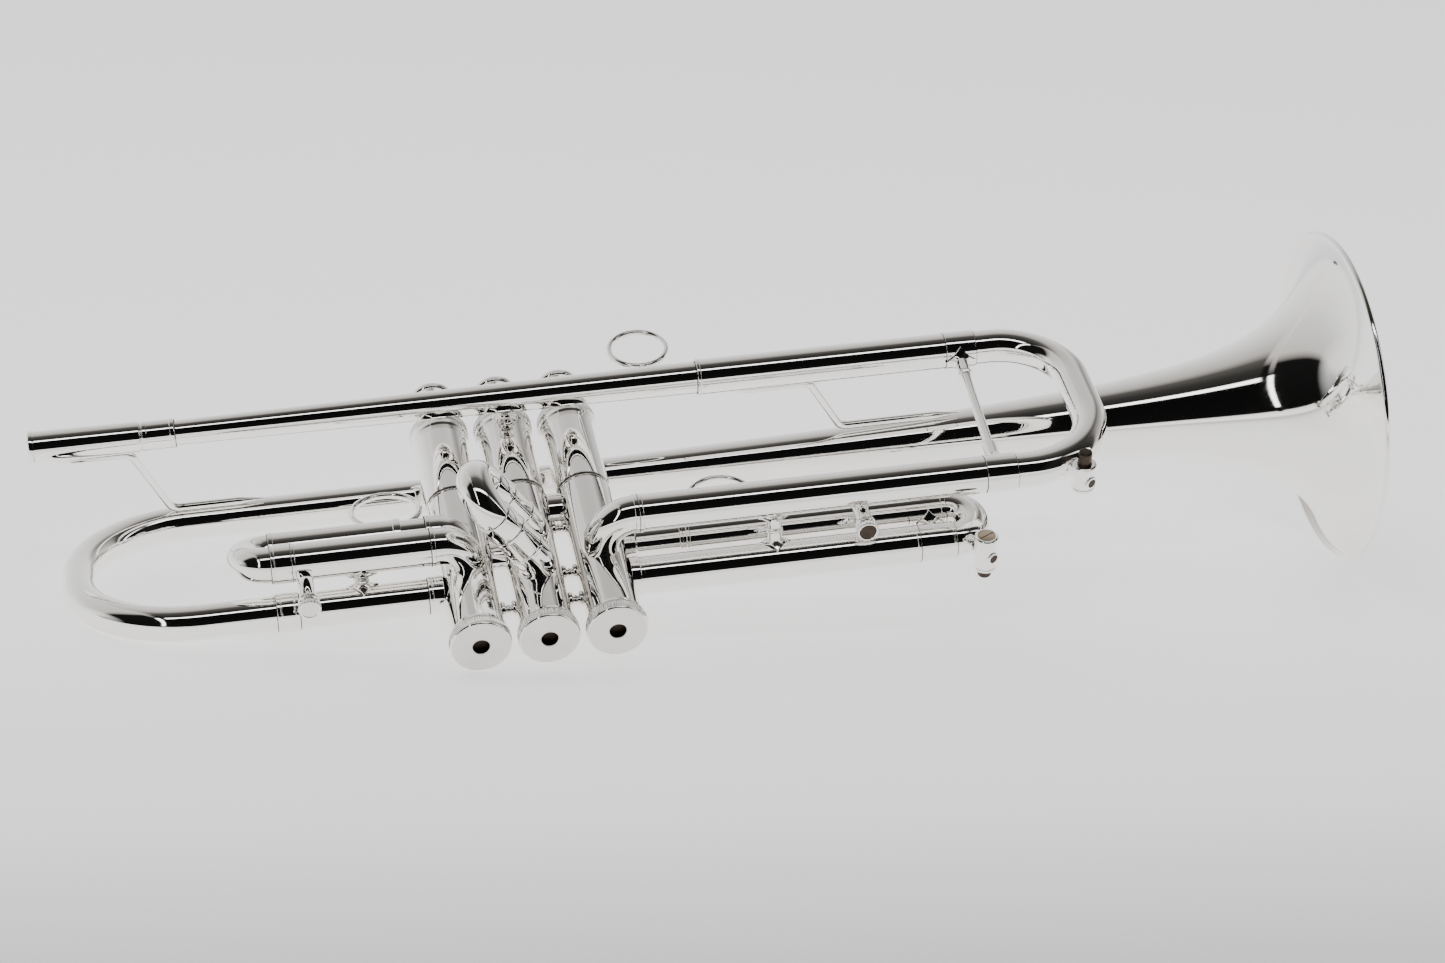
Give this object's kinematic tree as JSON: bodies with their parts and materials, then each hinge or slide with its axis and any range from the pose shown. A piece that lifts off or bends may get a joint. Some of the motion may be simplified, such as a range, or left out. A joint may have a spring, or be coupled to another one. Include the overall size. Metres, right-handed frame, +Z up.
{
  "type": "trumpet",
  "caption": "Silver-plated trumpet with three piston valves, a main tuning slide, valve slides with finger rings, piston water keys and a flared bell, lying on its side",
  "frame": {"origin": "centre of the bounding box, on the floor that the trumpet lies on", "axes": "+Z is up from the floor, +X runs forward to the bell along the length, +Y is to the left of that; the trumpet lies on its left side, on the bell rim and the bell bow, so its own axes are rolled and pitched"},
  "size_m": [0.4865, 0.1787, 0.1232],
  "materials": {
    "silver": "polished silver plate over brass",
    "pearl": "mother-of-pearl style inlay",
    "piston": "lapped nickel alloy",
    "spring": "drawn bronze wire",
    "screw": "silver plate over brass, with a knurled edge",
    "plunger": "darkened bronze"
  },
  "bodies": {
    "instrument": {"bell_bow": "silver", "bell_flare": "silver", "bell_stem": "silver", "bell_tail": "silver", "bell_throat": "silver", "bottom_caps": "silver", "crossover_tubes": "silver", "first_slide_knuckles": "silver", "first_slide_mounts": "silver", "first_slide_tubes": "silver", "front_s_brace": "silver", "leadpipe": "silver", "leadpipe_brace": "silver", "lower_slide_tube": "silver", "mouthpiece_receiver": "silver", "pinky_ring": "silver", "rear_s_brace": "silver", "second_slide_tubes": "silver", "third_slide_mounts": "silver", "third_slide_tubes": "silver", "third_valve_knuckle": "silver", "top_caps": "silver", "upper_slide_tube": "silver", "valve_casing_1": "silver", "valve_casing_2": "silver", "valve_casing_3": "silver", "valve_spring_1": "spring", "valve_spring_2": "spring", "valve_spring_3": "spring"},
    "valve_1": {"valve_piston_1": "piston", "valve_button_1": "silver", "button_pearl_1": "pearl"},
    "valve_2": {"valve_piston_2": "piston", "valve_button_2": "silver", "button_pearl_2": "pearl"},
    "valve_3": {"valve_piston_3": "piston", "valve_button_3": "silver", "button_pearl_3": "pearl"},
    "tuning_slide": {"tuning_bow": "silver", "tuning_slide_legs": "silver", "tuning_slide_brace": "silver", "tuning_water_key": "silver", "tuning_key_spring": "spring"},
    "tuning_key": {"tuning_key_plunger": "plunger"},
    "first_slide": {"first_slide_crook": "silver", "first_slide_leg": "silver", "first_slide_sleeve": "silver", "thumb_ring": "silver"},
    "second_slide": {"second_slide_crook": "silver", "second_slide_legs": "silver"},
    "third_slide": {"third_slide_crook": "silver", "third_slide_leg": "silver", "third_slide_sleeve": "silver", "third_finger_ring": "silver", "third_slide_brace": "silver", "third_water_key": "silver", "third_key_spring": "spring"},
    "third_key": {"third_key_plunger": "plunger"},
    "first_screw": {"first_thumbscrew": "screw"},
    "third_screw": {"third_thumbscrew": "screw"}
  },
  "joints": [
    {"name": "valve_1_press", "type": "slide", "parent": "instrument", "child": "valve_1", "axis": [0.0358, -0.9482, -0.3156], "range_m": [0, 0.016], "stiffness_N_per_m": 250, "springref_m": -0.008, "deforming": ["valve_spring_1"]},
    {"name": "valve_2_press", "type": "slide", "parent": "instrument", "child": "valve_2", "axis": [0.0358, -0.9482, -0.3156], "range_m": [0, 0.016], "stiffness_N_per_m": 250, "springref_m": -0.008, "deforming": ["valve_spring_2"]},
    {"name": "valve_3_press", "type": "slide", "parent": "instrument", "child": "valve_3", "axis": [0.0358, -0.9482, -0.3156], "range_m": [0, 0.016], "stiffness_N_per_m": 250, "springref_m": -0.008, "deforming": ["valve_spring_3"]},
    {"name": "tuning_slide_pull", "type": "slide", "parent": "instrument", "child": "tuning_slide", "axis": [0.9936, 0, 0.1129], "range_m": [0, 0.025]},
    {"name": "first_slide_pull", "type": "slide", "parent": "instrument", "child": "first_slide", "axis": [-0.9936, 0, -0.1129], "range_m": [0, 0.022]},
    {"name": "second_slide_pull", "type": "slide", "parent": "instrument", "child": "second_slide", "axis": [-0.647, -0.2627, 0.7158], "range_m": [0, 0.008]},
    {"name": "third_slide_pull", "type": "slide", "parent": "instrument", "child": "third_slide", "axis": [0.9936, 0, 0.1129], "range_m": [0, 0.045]},
    {"name": "tuning_key_press", "type": "slide", "parent": "tuning_slide", "child": "tuning_key", "axis": [0.107, 0.3176, -0.9422], "range_m": [0, 0.0018], "stiffness_N_per_m": 250, "springref_m": -0.003, "deforming": ["tuning_key_spring"]},
    {"name": "third_key_press", "type": "slide", "parent": "third_slide", "child": "third_key", "axis": [-0.107, -0.3176, 0.9422], "range_m": [0, 0.0018], "stiffness_N_per_m": 250, "springref_m": -0.003, "deforming": ["third_key_spring"]},
    {"name": "first_screw_turn", "type": "hinge", "parent": "instrument", "child": "first_screw", "pos_m": [-0.15084, -0.07618, 0.01957], "axis": [-0.0358, 0.9482, 0.3156], "continuous": true},
    {"name": "third_screw_turn", "type": "hinge", "parent": "instrument", "child": "third_screw", "pos_m": [0.0381, -0.06865, 0.04314], "axis": [-0.0358, 0.9482, 0.3156], "continuous": true}
  ]
}
